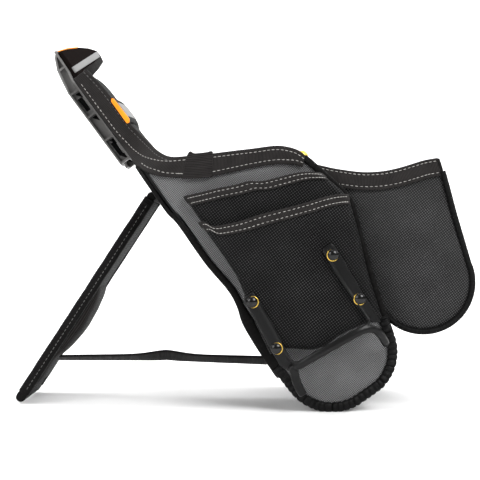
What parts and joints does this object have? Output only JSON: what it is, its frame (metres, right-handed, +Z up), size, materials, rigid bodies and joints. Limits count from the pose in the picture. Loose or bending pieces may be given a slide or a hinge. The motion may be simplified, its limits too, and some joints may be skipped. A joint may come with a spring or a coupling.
{
  "type": "electrician tool pouch",
  "caption": "Padded tool pouch with side sleeves and a front pocket, a moulded belt hub, and a kickstand that props it up.",
  "frame": {"origin": "on the floor, under the centre of the open pouch", "axes": "+X forward, away from the kickstand; +Y to the left as worn; +Z up"},
  "size_m": [0.3787, 0.238, 0.3012],
  "materials": {
    "hub_plastic": "satin moulded, dark grey",
    "black_plastic": "satin moulded, black",
    "band_plastic": "satin moulded, light grey",
    "accent_plastic": "satin moulded, amber",
    "rivet_steel": "plated",
    "brass": "polished",
    "cap_black": "black oxide, satin",
    "stiffener_sheet": "polyethylene sheet",
    "foam_pad": "foam with a knitted black face",
    "weave_black": "ballistic weave, black",
    "weave_grey": "ballistic weave, mid grey",
    "binding_tape": "ribbed binding tape, black",
    "webbing": "flat webbing, black",
    "piping_cord": "covered piping, black",
    "guard_plastic": "semi-gloss moulded, black",
    "badge_rubber": "soft moulded, black"
  },
  "bodies": {
    "pouch": {"hub_body": "hub_plastic", "hub_grip": "black_plastic", "hub_grip_band": "band_plastic", "hub_inlay": "accent_plastic", "hub_rivets": "rivet_steel", "back_skin": "weave_black", "back_stiffener": "stiffener_sheet", "back_pad": "foam_pad", "tongue_cushion": "foam_pad", "badge_base": "badge_rubber", "badge_flanks": "accent_plastic", "badge_bar": "band_plastic", "side_panel_right": "weave_grey", "side_panel_left": "weave_grey", "front_wall": "weave_black", "mouth_tape_right": "binding_tape", "mouth_tape_left": "binding_tape", "mouth_tape_front": "binding_tape", "gathered_binding_right": "binding_tape", "gathered_binding_left": "binding_tape", "keeper_loop_right": "webbing", "keeper_loop_left": "webbing", "corner_rivets": "brass", "rear_sleeve_right": "weave_black", "rear_sleeve_left": "weave_black", "rear_sleeve_tape_right": "binding_tape", "rear_sleeve_tape_left": "binding_tape", "front_sleeve_right": "weave_black", "front_sleeve_left": "weave_black", "front_sleeve_tape_right": "binding_tape", "front_sleeve_tape_left": "binding_tape", "guard_right": "guard_plastic", "guard_left": "guard_plastic", "guard_rivet_caps": "cap_black", "guard_rivet_rings": "brass", "pocket_side_right": "weave_black", "pocket_side_left": "weave_black", "pocket_wall": "weave_black", "pocket_tape": "binding_tape", "pocket_piping_right": "piping_cord", "pocket_piping_left": "piping_cord", "hinge_web": "webbing", "strap_anchor": "weave_black", "strap": "webbing"},
    "kickstand": {"stand_knuckle": "webbing", "stand_board": "stiffener_sheet", "stand_skin_outer": "weave_black", "stand_skin_inner": "weave_black", "stand_binding": "binding_tape", "stand_foot": "binding_tape", "stand_patch": "weave_black"}
  },
  "joints": [
    {"name": "kickstand_fold", "type": "hinge", "parent": "pouch", "child": "kickstand", "pos_m": [-0.07513, 0, 0.17327], "axis": [0, -1, 0], "range_deg": [0, 60], "deforming": ["strap"]}
  ]
}
